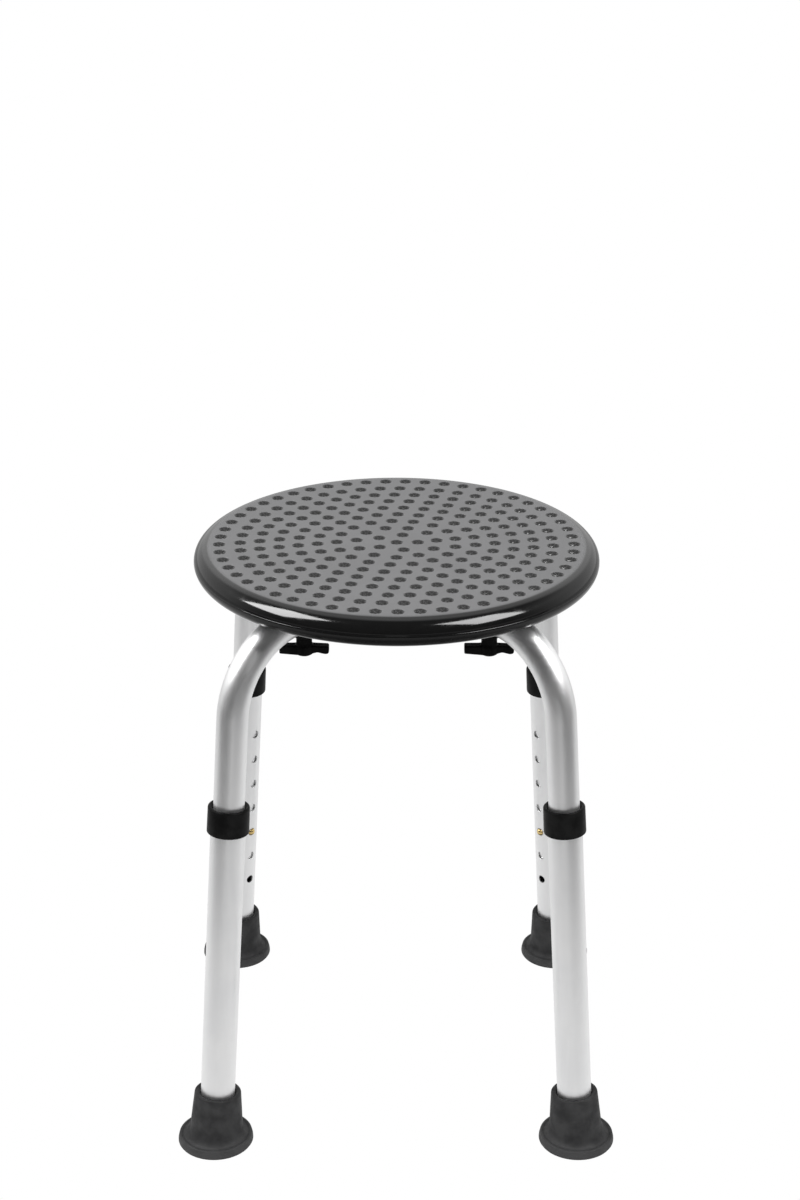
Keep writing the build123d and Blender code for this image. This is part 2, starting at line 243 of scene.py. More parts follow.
def leg_matrix(place):
    """Local +Z runs up the leg from the floor, local +X points away from the stool's axis."""
    up = -Vector(joints[f"leg_height_{place}"]["axis"]).normalized()
    low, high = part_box(f"foot_{place}")
    foot = Vector(((low.x + high.x) / 2, (low.y + high.y) / 2, 0))
    out = foot.normalized()
    out = (out - up * out.dot(up)).normalized()
    side = up.cross(out)
    return Matrix.Translation(foot) @ Matrix((out, side, up)).transposed().to_4x4()


def along_leg(node, place):
    """Lowest and highest place of a node along its leg."""
    inverse = leg_matrix(place).inverted()
    heights = [(inverse @ p).z for p in node_points(node)]
    return min(heights), max(heights)


def leg_radius(node, place):
    inverse = leg_matrix(place).inverted()
    return max(hypot(*(inverse @ p).xy) for p in node_points(node))


def finish_piece(obj, body, material, slot, *replaced):
    """Material and body of one visible piece; the slot argument is not used."""
    obj.data.materials.clear()
    obj.data.materials.append(material)
    if replaced:
        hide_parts(*replaced)
    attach(obj, body)
    return obj


# ---- Seat -------------------------------------------------------------------------------------
SEAT_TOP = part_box("seat")[1].z
SEAT_RADIUS = (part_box("seat")[1].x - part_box("seat")[0].x) / 2
FLAT_RADIUS = 153.5 * MM
SEAT_DEPTH = 24.5 * MM
RIM_WIDEST_DEPTH = 12.5 * MM
SEAT_BASE_RADIUS = 155.0 * MM
SEAT_BASE = SEAT_TOP - SEAT_DEPTH
MOULDING_ROOT = SEAT_BASE + 0.5 * MM    # mouldings on the underside start inside the shell
DIMPLE_RINGS = 9
DIMPLE_PITCH = 16.0 * MM
DIMPLE_FIRST = 17.6 * MM
DIMPLE_LAST = 147.0 * MM
DIMPLE_START = 73.3       # degrees
DIMPLE_RADIUS = 5.6 * MM
DIMPLE_DEPTH = 1.9 * MM
RIDGES = 6
RIDGE_HALF_WIDTH = 0.55 * MM
RIM_SEGMENTS = 192


def dimple_centres():
    """Middle dimple, then rings of 5, 11, 17 ... dimples, all starting at one angle."""
    centres = [Vector((0, 0))]
    for ring in range(1, DIMPLE_RINGS + 1):
        radius = DIMPLE_LAST if ring == DIMPLE_RINGS else DIMPLE_FIRST + DIMPLE_PITCH * (ring - 1)
        count = 6 * ring - 1
        for step in range(count):
            angle = radians(DIMPLE_START + 360 * step / count)
            centres.append(Vector((radius * cos(angle), radius * sin(angle))))
    return centres


def dimple_patch():
    """Dish with six low ridges that meet in its middle: offsets, depths and faces of one dimple."""
    share_of_radius = (1.0, 0.965, 0.88, 0.74, 0.56, 0.38, 0.2)
    columns_per_ridge = 6
    points = []
    for share in share_of_radius:
        radius = DIMPLE_RADIUS * share
        flank = min(radians(17), RIDGE_HALF_WIDTH / radius)
        for ridge in range(RIDGES):
            centre = 2 * pi * ridge / RIDGES
            half = pi / RIDGES
            foot_of_ridge = (flank * 1.9 + half * 0.2) / 1.2
            for offset in (0, flank, foot_of_ridge, half, 2 * half - foot_of_ridge, 2 * half - flank):
                angle = centre + offset
                dish = DIMPLE_DEPTH * (1 - share ** 2.2)
                crest = 0.3 * MM + 0.45 * MM * (1 - share)
                away = radius * min(offset, 2 * half - offset)
                blend = exp(-(away / RIDGE_HALF_WIDTH) ** 2)
                depth = dish * (1 - blend) + min(dish, crest) * blend
                points.append((radius * cos(angle), radius * sin(angle), -depth))
    columns = RIDGES * columns_per_ridge
    points.append((0, 0, -0.95 * MM))
    faces = rings_to_faces(len(share_of_radius), columns)
    middle = len(points) - 1
    inner = (len(share_of_radius) - 1) * columns
    faces += [(inner + i, inner + (i + 1) % columns, middle) for i in range(columns)]
    return points, faces, columns


def seat_face():
    """Flat face: dimple patches, and one cut sheet between them and the rim."""
    patch, patch_faces, columns = dimple_patch()
    points, faces = [], []
    corners, edges = [], []
    for i in range(RIM_SEGMENTS):
        angle = 2 * pi * i / RIM_SEGMENTS
        corners.append(Vector((FLAT_RADIUS * cos(angle), FLAT_RADIUS * sin(angle))))
        edges.append((i, (i + 1) % RIM_SEGMENTS))
    centres = dimple_centres()
    for centre in centres:
        start = len(corners)
        for i in range(columns):
            corners.append(centre + Vector(patch[i][:2]))
            edges.append((start + i, start + (i + 1) % columns))
        first = len(points)
        points += [Vector((centre.x + x, centre.y + y, SEAT_TOP + z)) for x, y, z in patch]
        faces += [tuple(first + i for i in face) for face in patch_faces]
    flat, kept = cut_sheet(corners, edges, RIM_SEGMENTS, columns)
    first = len(points)
    points += [Vector((p.x, p.y, SEAT_TOP)) for p in flat]
    faces += [tuple(first + i for i in face) for face in kept]
    return points, faces


def crisp_dimples(obj):
    """Marks the rims of the dimples as sharp edges, so that the face between them stays flat."""
    work = bmesh.new()
    work.from_mesh(obj.data)
    for edge in work.edges:
        level = all(v.co.z > SEAT_TOP - 0.001 * MM for v in edge.verts)
        if level and len(edge.link_faces) == 2:
            lifts = sorted(face.normal.z for face in edge.link_faces)
            edge.smooth = not (lifts[0] < 0.995 and lifts[1] > 0.9999)
    work.to_mesh(obj.data)
    work.free()


def seat_shell():
    """Rolled rim with its moulding seam, and the flat underside."""
    waist = SEAT_TOP - RIM_WIDEST_DEPTH
    profile = ellipse_arc((FLAT_RADIUS, waist), SEAT_RADIUS - FLAT_RADIUS, RIM_WIDEST_DEPTH, 90, 2, 22)
    seam = 0.25 * MM
    profile += [Vector((SEAT_RADIUS - 0.05 * MM, waist + seam)), Vector((SEAT_RADIUS - 0.3 * MM, waist)),
                Vector((SEAT_RADIUS - 0.05 * MM, waist - seam))]
    profile += ellipse_arc((SEAT_BASE_RADIUS, waist), SEAT_RADIUS - SEAT_BASE_RADIUS, waist - SEAT_BASE,
                           -3, -90, 18)
    profile += [Vector((radius * MM, SEAT_BASE)) for radius in (150, 120, 62, 0.001)]
    return lathe(profile, RIM_SEGMENTS)


UPPER_RADIUS = 12.7 * MM
LEVEL_TUBE_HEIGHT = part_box("upper_leg_front_right")[1].z - UPPER_RADIUS
HUB_BASE = LEVEL_TUBE_HEIGHT - UPPER_RADIUS - 4 * MM


def socket_block(azimuth):
    """Moulded socket that takes the inner end of one tube: a rounded block with a round mouth."""
    block_base = HUB_BASE + 0.3 * MM
    half = UPPER_RADIUS + 4 * MM
    mouth, back = 56 * MM, 14 * MM
    outline = rounded([(-half, MOULDING_ROOT), (-half, block_base, 10 * MM), (half, block_base, 10 * MM),
                       (half, MOULDING_ROOT)], 8)
    bore = UPPER_RADIUS + 0.15 * MM
    hole = [Vector((bore * cos(a), LEVEL_TUBE_HEIGHT + bore * sin(a)))
            for a in (radians(10 - 200 * i / (len(outline) - 1)) for i in range(len(outline)))]
    hole.reverse()
    edge = [Vector((p.x * 0.97, LEVEL_TUBE_HEIGHT + (p.y - LEVEL_TUBE_HEIGHT) * 0.97)) for p in outline]
    rings = ((back, outline), (mouth - 0.8 * MM, outline), (mouth, edge), (mouth, hole), (mouth - 8 * MM, hole))
    spin = Matrix.Rotation(azimuth, 4, "Z")
    points = [spin @ Vector((along, p.x, p.y)) for along, ring in rings for p in ring]
    return points, rings_to_faces(len(rings), len(outline), closed=False)


def guide_rail(azimuth, side):
    """Low rail beside a tube that keeps it from swinging."""
    middle, half_length, half_width, drop = 107 * MM, 23 * MM, 2.3 * MM, 8 * MM
    offset = side * (UPPER_RADIUS + 2.6 * MM)
    section = rounded([(-half_width, MOULDING_ROOT), (-half_width, SEAT_BASE - drop, 1.2 * MM),
                       (half_width, SEAT_BASE - drop, 1.2 * MM), (half_width, MOULDING_ROOT)], 4)
    stations = ((-half_length, 0.02), (-half_length, 0.86), (-half_length + 1 * MM, 1.0),
                (half_length - 1 * MM, 1.0), (half_length, 0.86), (half_length, 0.02))
    spin = Matrix.Rotation(azimuth, 4, "Z")
    points = [spin @ Vector((middle + along, offset + p.x * scale,
                             MOULDING_ROOT - (MOULDING_ROOT - p.y) * scale))
              for along, scale in stations for p in section]
    return points, rings_to_faces(len(stations), len(section), closed=False)


def seat_underside_parts():
    """Middle hub, and for each leg its socket, two guide rails and four shallow ring bosses."""
    hub = rounded([(27 * MM, MOULDING_ROOT), (26 * MM, HUB_BASE, 2.5 * MM), (10 * MM, HUB_BASE),
                   (9 * MM, HUB_BASE + 1.5 * MM), (0.001 * MM, HUB_BASE + 1.5 * MM)], 5)
    parts = [lathe(hub, 48)]
    for place in PLACES:
        x, y, _ = leg_matrix(place).translation
        azimuth = atan2(y, x)
        parts.append(socket_block(azimuth))
        parts.append(guide_rail(azimuth, -1))
        parts.append(guide_rail(azimuth, 1))
        for turn in (radians(31), radians(59)):
            for radius in (76 * MM, 118 * MM):
                spot = Matrix.Translation((radius * cos(azimuth + turn), radius * sin(azimuth + turn), 0))
                boss = rounded([(9 * MM, SEAT_BASE - 0.05 * MM), (8.2 * MM, SEAT_BASE - 1.2 * MM, 0.6 * MM),
                                (6 * MM, SEAT_BASE - 1.2 * MM), (4.6 * MM, SEAT_BASE + 0.4 * MM),
                                (0.001 * MM, SEAT_BASE + 0.4 * MM)], 3)
                parts.append(lathe(boss, 28, spot))
    return parts


# ---- Legs -------------------------------------------------------------------------------------
TUBE_WALL = 1.2 * MM
BEND_RADIUS = 70 * MM
HOLE_PITCH = 26 * MM
HOLE_RADIUS = 3.75 * MM
HOLES_BELOW_BUTTON = 2
HOLES_ABOVE_BUTTON = 4
TUBE_COLUMNS = 72


def upper_tube(place):
    """Level run under the seat, one wide bend and a straight run down to the lock."""
    leg = leg_matrix(place)
    foot = leg.translation
    out = foot.normalized()
    up = (leg.to_3x3() @ Vector((0, 0, 1))).normalized()
    lean = up.angle(Vector((0, 0, 1)))
    bottom, _ = along_leg(f"upper_leg_{place}", place)
    inner_end = min(Vector((p.x, p.y)).dot(Vector((out.x, out.y)))
                    for p in node_points(f"upper_leg_{place}"))
    knee = foot.length - LEVEL_TUBE_HEIGHT * tan(lean)
    turn = pi / 2 - lean
    tangent = BEND_RADIUS * tan(turn / 2)
    path = [out * inner_end, out * (inner_end + 30 * MM), out * (knee - tangent - 10 * MM)]
    path = [p + Vector((0, 0, LEVEL_TUBE_HEIGHT)) for p in path]
    steps = 30
    centre = out * (knee - tangent) + Vector((0, 0, LEVEL_TUBE_HEIGHT - BEND_RADIUS))
    for i in range(steps + 1):
        angle = turn * i / steps
        path.append(centre + out * BEND_RADIUS * sin(angle) + Vector((0, 0, BEND_RADIUS * cos(angle))))
    straight_top = (leg.inverted() @ path[-1]).z
    path += [leg @ Vector((0, 0, straight_top - share * (straight_top - bottom)))
             for share in (0.15, 0.5, 1.0)]
    outer, faces = tube_along(path, UPPER_RADIUS, TUBE_COLUMNS)
    inner, inner_faces = tube_along(path, UPPER_RADIUS - TUBE_WALL, TUBE_COLUMNS)
    count = len(outer)
    faces = faces + [tuple(i + count for i in reversed(face)) for face in inner_faces]
    for row in (0, len(path) - 1):
        for column in range(TUBE_COLUMNS):
            a = row * TUBE_COLUMNS + column
            b = row * TUBE_COLUMNS + (column + 1) % TUBE_COLUMNS
            faces.append((a, b, b + count, a + count))
    return joined(f"upper_tube_{place}", [(outer + inner, faces)])


def lower_tube(place):
    """Wider tube with the row of round holes that the snap button clicks into."""
    bottom, top = along_leg(f"lower_tube_{place}", place)
    radius = leg_radius(f"lower_tube_{place}", place)
    low, high = along_leg(f"snap_button_{place}", place)
    button = (low + high) / 2
    holes = [button + HOLE_PITCH * step for step in range(-HOLES_BELOW_BUTTON, HOLES_ABOVE_BUTTON + 1)]
    tube = drilled_tube(radius, TUBE_WALL, bottom, top, holes, HOLE_RADIUS, TUBE_COLUMNS, leg_matrix(place))
    return joined(f"outer_tube_{place}", [tube])


def collar(place):
    """Moulded sleeve: rounded shoulder, and a lip that slopes in to the sliding tube."""
    base, top = along_leg(f"collar_{place}", place)
    radius = leg_radius(f"collar_{place}", place)
    lower_radius = leg_radius(f"lower_tube_{place}", place)
    tube_top = along_leg(f"lower_tube_{place}", place)[1]
    bore = UPPER_RADIUS + 0.3 * MM
    grip = lower_radius + 0.02 * MM
    profile = rounded([(grip, base + 6 * MM), (grip, base + 0.5 * MM),
                       (lower_radius + 0.6 * MM, base, 0.3 * MM), (radius, base, 0.9 * MM),
                       (radius - 0.25 * MM, top, 1.6 * MM), (bore + 1.9 * MM, top - 0.1 * MM, 0.8 * MM),
                       (bore, top - 1.9 * MM, 0.5 * MM), (bore, tube_top + 0.02 * MM),
                       (grip, tube_top + 0.02 * MM), (grip, base + 6 * MM)], 5)
    return joined(f"height_collar_{place}", [lathe(profile, 96, leg_matrix(place))])


def foot(place):
    """Rubber foot: level tread and flange, sleeve that leans with the leg, one smooth fillet between."""
    leg = leg_matrix(place)
    centre = leg.translation
    low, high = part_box(f"foot_{place}")
    flange = (high.x - low.x) / 2
    lip = along_leg(f"foot_{place}", place)[1]
    bore = leg_radius(f"lower_tube_{place}", place) + 0.05 * MM
    tube_base = along_leg(f"foot_washer_{place}", place)[0]
    level = [(0.001 * MM, 0)]
    groove_depth, groove_half = 1.3 * MM, 1.2 * MM
    for groove in (10 * MM, 16 * MM, 22 * MM):
        level += [(groove - groove_half, 0), (groove - groove_half * 0.7, groove_depth),
                  (groove + groove_half * 0.7, groove_depth), (groove + groove_half, 0)]
    level += rounded([(23.5 * MM, 0), (flange - 0.9 * MM, 0), (flange, 1.3 * MM, 0.8 * MM),
                      (flange - 0.1 * MM, 3.4 * MM, 1.5 * MM), (flange - 1.0 * MM, 7.2 * MM, 0.7 * MM),
                      (flange - 2.6 * MM, 7.8 * MM, 0.9 * MM), (flange - 4.4 * MM, 7.3 * MM, 1.5 * MM),
                      (25.2 * MM, 8.4 * MM, 2.5 * MM), (23.7 * MM, 10.2 * MM)], 4)
    sleeve = rounded([(22.6 * MM, 13.0 * MM), (22.0 * MM, 16 * MM), (19.5 * MM, lip - 0.4 * MM, 1.5 * MM),
                      (17.6 * MM, lip, 1.0 * MM), (bore + 1.2 * MM, lip - 0.5 * MM, 0.8 * MM),
                      (bore, lip - 2.6 * MM), (bore, tube_base), (0.001 * MM, tube_base)], 5)
    segments = 96
    upright = Matrix.Translation(centre)
    points = []
    for radius, height in level:
        for column in range(segments):
            angle = 2 * pi * column / segments + atan2(centre.y, centre.x)
            points.append(upright @ Vector((radius * cos(angle), radius * sin(angle), height)))
    for radius, height in sleeve:
        for column in range(segments):
            angle = 2 * pi * column / segments
            points.append(leg @ Vector((radius * cos(angle), radius * sin(angle), height)))
    faces = rings_to_faces(len(level) + len(sleeve), segments)
    return joined(f"rubber_foot_{place}", [(points, faces)], 50)


def snap_button(place):
    """Turned brass pin with a domed end, in the wall that faces the stool's axis."""
    low, high = along_leg(f"snap_button_{place}", place)
    leg = leg_matrix(place)
    inverse = leg.inverted()
    reach = [-(inverse @ p).x for p in node_points(f"snap_button_{place}")]
    tip, base = max(reach), min(reach)
    radius, dome = 3.2 * MM, 2.7 * MM
    flange_radius, flange_top = 4 * MM, base + 1.2 * MM
    across = leg @ Matrix.Translation((0, 0, (low + high) / 2)) @ Matrix.Rotation(-pi / 2, 4, "Y")
    profile = [Vector((0.001 * MM, base)), Vector((flange_radius, base)), Vector((flange_radius, flange_top)),
               Vector((radius, flange_top)), Vector((radius, tip - dome))]
    profile += ellipse_arc((0, tip - dome), radius, dome, 8, 89.9, 12)
    return joined(f"brass_button_{place}", [lathe(profile, 40, across)])


def spring_strip(place):
    """The V-shaped spring inside the tube, sliced across along the leg. The real leaf bends in as the button is
    pressed; nothing here bends it.
    """
    node = f"spring_clip_{place}"
    leg = leg_matrix(place)
    up = leg.to_3x3() @ Vector((0, 0, 1))
    low, high = along_leg(node, place)
    cuts = 30
    work = bmesh.new()
    work.from_mesh(nodes[node].data)
    bmesh.ops.remove_doubles(work, verts=work.verts, dist=WELD_DISTANCE)
    for cut in range(1, cuts):
        level = leg @ Vector((0, 0, low + (high - low) * cut / cuts))
        bmesh.ops.bisect_plane(work, geom=work.verts[:] + work.edges[:] + work.faces[:],
                               plane_co=level, plane_no=up)
    mesh = bpy.data.meshes.new(f"spring_strip_{place}")
    work.to_mesh(mesh)
    work.free()
    mesh.polygons.foreach_set("use_smooth", [True] * len(mesh.polygons))
    mesh.set_sharp_from_angle(angle=radians(SHARP_ANGLE))
    mesh.materials.append(spring_steel)
    obj = bpy.data.objects.new(f"spring_strip_{place}", mesh)
    scene.collection.objects.link(obj)
    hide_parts(node)
    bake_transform(obj)


# ---- Hand nuts --------------------------------------------------------------------------------
def lever_nut(place):
    """Moulded hand nut: neck, hub and two arms, fused and softened like one moulding."""
    node = f"lever_nut_{place}"
    low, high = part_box(node)
    pivot = Vector(joints[f"lever_turn_{place}"]["pos_m"])
    reach = (high.x - low.x) / 2
    bulge, top = low.z, high.z
    arm_base = bulge + 1.6 * MM
    arm_top = arm_base + 6.8 * MM
    outline = rounded([(0, arm_top + 0.6 * MM), (reach * 0.45, arm_top), (reach, arm_top - 0.5 * MM, 1.4 * MM),
                       (reach, arm_base - 0.4 * MM, 2.2 * MM), (reach - 3.6 * MM, arm_base - 0.5 * MM, 2 * MM),
                       (10.6 * MM, arm_base + 1.1 * MM, 4 * MM), (5.4 * MM, arm_base - 0.4 * MM, 1.5 * MM),
                       (3.0 * MM, bulge, 1.5 * MM), (-1.5 * MM, bulge, 3 * MM),
                       (-reach, arm_base - 0.1 * MM, 0.9 * MM), (-reach, arm_top, 0.9 * MM),
                       (-reach * 0.45, arm_top, 3 * MM), (0, arm_top + 0.6 * MM)], 5)[:-1]
    count = len(outline)
    points = []
    half_width = 4.8 * MM
    for side, inset, y_share in ((-1, 0.9, 1.0), (-1, 0.35, 0.93), (-1, 0.0, 0.78),
                                 (1, 0.0, 0.78), (1, 0.35, 0.93), (1, 0.9, 1.0)):
        for p in outline:
            taper = 1 - 0.12 * abs(p.x) / reach
            middle = Vector((p.x * 0.94, (arm_base + arm_top) / 2))
            pull = (middle - p).normalized() * inset * MM
            points.append(Vector((pivot.x + p.x + pull.x, pivot.y + side * half_width * y_share * taper,
                                  p.y + pull.y)))
    faces = rings_to_faces(6, count, capped=True)
    body = joined(f"{node}_arms", [(points, faces)])
    base = Matrix.Translation((pivot.x, pivot.y, 0))
    neck = rounded([(0.001 * MM, top), (6.5 * MM, top, 0.5 * MM), (6.5 * MM, arm_top + 2 * MM, 1 * MM),
                    (7.4 * MM, arm_top - 1 * MM, 1.5 * MM), (7.4 * MM, bulge + 1.2 * MM, 1 * MM),
                    (5.6 * MM, bulge, 1 * MM), (0.001 * MM, bulge)], 4)
    post = joined(f"{node}_post", [lathe(neck, 40, base)])
    fuse = bmesh.new()
    fuse.from_mesh(body.data)
    fuse.from_mesh(post.data)
    fuse.to_mesh(body.data)
    fuse.free()
    bpy.data.objects.remove(post)
    remesh = body.modifiers.new("fuse", "REMESH")
    remesh.mode = "VOXEL"
    remesh.voxel_size = 0.42 * MM
    soften = body.modifiers.new("soften", "SMOOTH")
    soften.factor = 0.5
    soften.iterations = 4
    nut = applied(body, f"hand_nut_{place}")
    bpy.data.objects.remove(body)
    return nut


def applied(obj, name):
    """A new object with the mesh that obj's modifiers make."""
    bpy.context.view_layer.update()
    mesh = bpy.data.meshes.new_from_object(obj.evaluated_get(bpy.context.evaluated_depsgraph_get()))
    mesh.name = name
    mesh.polygons.foreach_set("use_smooth", [True] * len(mesh.polygons))
    result = bpy.data.objects.new(name, mesh)
    scene.collection.objects.link(result)
    return result


def saddle_washers():
    """Black spacers between the tubes and the hand nuts, hollowed to fit round the tubes."""
    low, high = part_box("saddle_washers")
    parts = []
    radius, bore = 10 * MM, 4.3 * MM
    saddle_radius = UPPER_RADIUS + 0.1 * MM
    columns = 48
    for place in PLACES:
        pivot = Vector(joints[f"lever_turn_{place}"]["pos_m"])
        azimuth = atan2(pivot.y, pivot.x)
        spot = Matrix.Translation((pivot.x, pivot.y, 0)) @ Matrix.Rotation(azimuth, 4, "Z")
        rows = []
        for r, lift in ((bore, 0), (radius - 0.5 * MM, 0), (radius, 0.5 * MM), (radius, None), (bore, None)):
            for column in range(columns):
                angle = 2 * pi * column / columns
                x, y = r * cos(angle), r * sin(angle)
                saddle = LEVEL_TUBE_HEIGHT - sqrt(saddle_radius ** 2 - y ** 2)
                z = low.z + lift if lift is not None else min(saddle, high.z)
                rows.append(spot @ Vector((x, y, z)))
        faces = rings_to_faces(5, columns)
        faces += [((4 * columns) + i, (4 * columns) + (i + 1) % columns, (i + 1) % columns, i)
                  for i in range(columns)]
        parts.append((rows, faces))
    return joined("saddle_spacers", parts)


# ---- Materials --------------------------------------------------------------------------------
class Recipe:
    """A node material on one Principled shader, with short calls for its nodes."""

    def __init__(self, name, **sockets):
        self.material = bpy.data.materials.new(name)
        self.material.use_nodes = True
        self.tree = self.material.node_tree
        self.shader = next(n for n in self.tree.nodes if n.type == "BSDF_PRINCIPLED")
        for socket, value in sockets.items():
            self.shader.inputs[socket.replace("_", " ")].default_value = value
        self.coords = self.node("ShaderNodeTexCoord").outputs["Object"]

    def node(self, kind, **settings):
        made = self.tree.nodes.new(kind)
        for key, value in settings.items():
            setattr(made, key, value)
        return made

    def link(self, source, target):
        self.tree.links.new(source, target)

    def noise(self, scale, detail=4.0, roughness=0.55, coords=None):
        node = self.node("ShaderNodeTexNoise")
        node.inputs["Scale"].default_value = scale
        node.inputs["Detail"].default_value = detail
        node.inputs["Roughness"].default_value = roughness
        self.link(coords or self.coords, node.inputs["Vector"])
        return node.outputs["Fac"]

    def ramp(self, value, low, high, out_low=0.0, out_high=1.0):
        """Smooth step of a value from low to high."""
        node = self.node("ShaderNodeMapRange", interpolation_type="SMOOTHSTEP")
        self.link(value, node.inputs["Value"])
        for key, number in (("From Min", low), ("From Max", high), ("To Min", out_low), ("To Max", out_high)):
            node.inputs[key].default_value = number
        return node.outputs["Result"]

    def math(self, operation, a, b):
        node = self.node("ShaderNodeMath", operation=operation)
        for i, value in enumerate((a, b)):
            if isinstance(value, (int, float)):
                node.inputs[i].default_value = value
            else:
                self.link(value, node.inputs[i])
        return node.outputs["Value"]

    def colours(self, value, first, second):
        node = self.node("ShaderNodeMix", data_type="RGBA")
        self.link(value, node.inputs["Factor"])
        node.inputs["A"].default_value = (*first, 1)
        node.inputs["B"].default_value = (*second, 1)
        return node.outputs["Result"]

    def bump(self, height, strength, distance, normal=None):
        node = self.node("ShaderNodeBump")
        node.inputs["Strength"].default_value = strength
        node.inputs["Distance"].default_value = distance
        self.link(height, node.inputs["Height"])
        if normal is not None:
            self.link(normal, node.inputs["Normal"])
        return node.outputs["Normal"]

    def stretched(self, direction, squeeze):
        """Object coordinates pressed together along a direction, for marks that run along it."""
        axis = Vector(direction).normalized()
        turn = axis.rotation_difference(Vector((0, 0, 1))).to_euler()
        node = self.node("ShaderNodeMapping")
        node.inputs["Rotation"].default_value = turn
        node.inputs["Scale"].default_value = (1, 1, squeeze)
        self.link(self.coords, node.inputs["Vector"])
        return node.outputs["Vector"]

    def into(self, socket, source):
        self.link(source, self.shader.inputs[socket])


def seat_plastic():
    """Black plastic: satin grain on the level face only, smooth black in the dimples and on the rim; its base
    colour carries a painted sheen on the satin faces and painted shade deeper in the dimples and on the rim.
    """
    r = Recipe("black_seat_plastic", Specular_IOR_Level=0.25)
    split = r.node("ShaderNodeSeparateXYZ")
    r.link(r.coords, split.inputs["Vector"])
    top = r.ramp(split.outputs["Z"], SEAT_TOP - 0.55 * MM, SEAT_TOP - 0.02 * MM)
    under = r.ramp(split.outputs["Z"], SEAT_BASE - 0.5 * MM, SEAT_BASE + 3 * MM, 0.7, 0.0)
    satin = r.math("MAXIMUM", top, under)
    cloud = r.noise(30, 3)
    smear = r.noise(140, 5)
    blend = r.node("ShaderNodeMix", data_type="FLOAT")
    r.link(satin, blend.inputs["Factor"])
    r.link(r.ramp(smear, 0.35, 0.75, 0.09, 0.16), blend.inputs["A"])
    r.link(r.ramp(cloud, 0.3, 0.7, 0.38, 0.46), blend.inputs["B"])
    r.into("Roughness", blend.outputs["Result"])
    # Lighter grey of the satin faces: partly the grain's own tone, partly a painted sheen.
    tone = r.math("MULTIPLY", satin, r.ramp(cloud, 0.3, 0.7, 0.82, 1.0))
    # Painted shade: the smooth black darkens with depth, from 0.012 high in the dimples to 0.002 on the rim and
    # everything below.
    black = r.colours(r.ramp(split.outputs["Z"], SEAT_TOP - 2.4 * MM, SEAT_TOP - 1.2 * MM),
                      (0.002, 0.002, 0.002), (0.012, 0.012, 0.012))
    mix = r.node("ShaderNodeMix", data_type="RGBA")
    r.link(tone, mix.inputs["Factor"])
    r.link(black, mix.inputs["A"])
    mix.inputs["B"].default_value = (0.047, 0.047, 0.048, 1)
    r.into("Base Color", mix.outputs["Result"])
    grain_height = r.math("MULTIPLY", r.noise(2600, 2), satin)
    dust = r.ramp(r.noise(900, 1), 0.72, 0.8)
    normal = r.bump(grain_height, 0.3, 0.1 * MM)
    r.into("Normal", r.bump(dust, 0.1, 0.04 * MM, normal))
    return r.material


def tube_metal(name, direction):
    """Satin anodised aluminium with faint drawn lines along the tube."""
    r = Recipe(name, Metallic=1.0)
    lines = r.noise(700, 4, 0.6, r.stretched(direction, 0.012))
    cloud = r.noise(22, 3)
    r.into("Base Color", r.colours(r.ramp(cloud, 0.3, 0.7), (0.9, 0.902, 0.906), (0.94, 0.94, 0.94)))
    base = r.ramp(lines, 0.3, 0.7, 0.4, 0.46)
    wear = r.ramp(r.noise(60, 5), 0.62, 0.75, 0.0, 0.05)
    r.into("Roughness", r.math("ADD", base, wear))
    r.into("Normal", r.bump(lines, 0.08, 0.012 * MM))
    return r.material


def moulded_plastic(name, dark, light, rough_low, rough_high):
    """Moulded black part: fine spark grain, soft tone and sheen variation."""
    r = Recipe(name, Specular_IOR_Level=0.06)
    cloud = r.noise(90, 4)
    r.into("Base Color", r.colours(r.ramp(cloud, 0.3, 0.7), (dark,) * 3, (light,) * 3))
    r.into("Roughness", r.ramp(r.noise(260, 4), 0.3, 0.7, rough_low, rough_high))
    normal = r.bump(r.noise(1900, 3), 0.4, 0.05 * MM)
    r.into("Normal", r.bump(cloud, 0.1, 0.15 * MM, normal))
    return r.material


def rubber():
    """Dark grey moulded rubber, lighter towards the floor over its lowest 13 mm, and slightly mottled."""
    r = Recipe("grey_rubber", Specular_IOR_Level=0.2)
    cloud = r.noise(70, 5)
    fine = r.noise(1500, 3)
    split = r.node("ShaderNodeSeparateXYZ")
    r.link(r.coords, split.inputs["Vector"])
    # Lighter towards the bottom of the foot, fading out between 5 and 13 mm over the floor.
    low = r.ramp(split.outputs["Z"], 5 * MM, 13 * MM, 0.7, 0.0)
    tone = r.math("ADD", r.ramp(cloud, 0.3, 0.7, 0.0, 0.65), low)
    r.into("Base Color", r.colours(tone, (0.0095, 0.0095, 0.01), (0.026, 0.026, 0.0265)))
    r.into("Roughness", r.ramp(r.noise(180, 4), 0.3, 0.7, 0.48, 0.66))
    normal = r.bump(fine, 0.35, 0.06 * MM)
    r.into("Normal", r.bump(cloud, 0.12, 0.3 * MM, normal))
    return r.material


def plain_metal(name, dark, light, rough_low, rough_high):
    """Small metal parts: turned or rolled surface with fine scratches."""
    r = Recipe(name, Metallic=1.0)
    cloud = r.noise(300, 4)
    r.into("Base Color", r.colours(r.ramp(cloud, 0.3, 0.7), dark, light))
    r.into("Roughness", r.ramp(r.noise(700, 4), 0.3, 0.7, rough_low, rough_high))
    r.into("Normal", r.bump(r.noise(2100, 2), 0.15, 0.02 * MM))
    return r.material


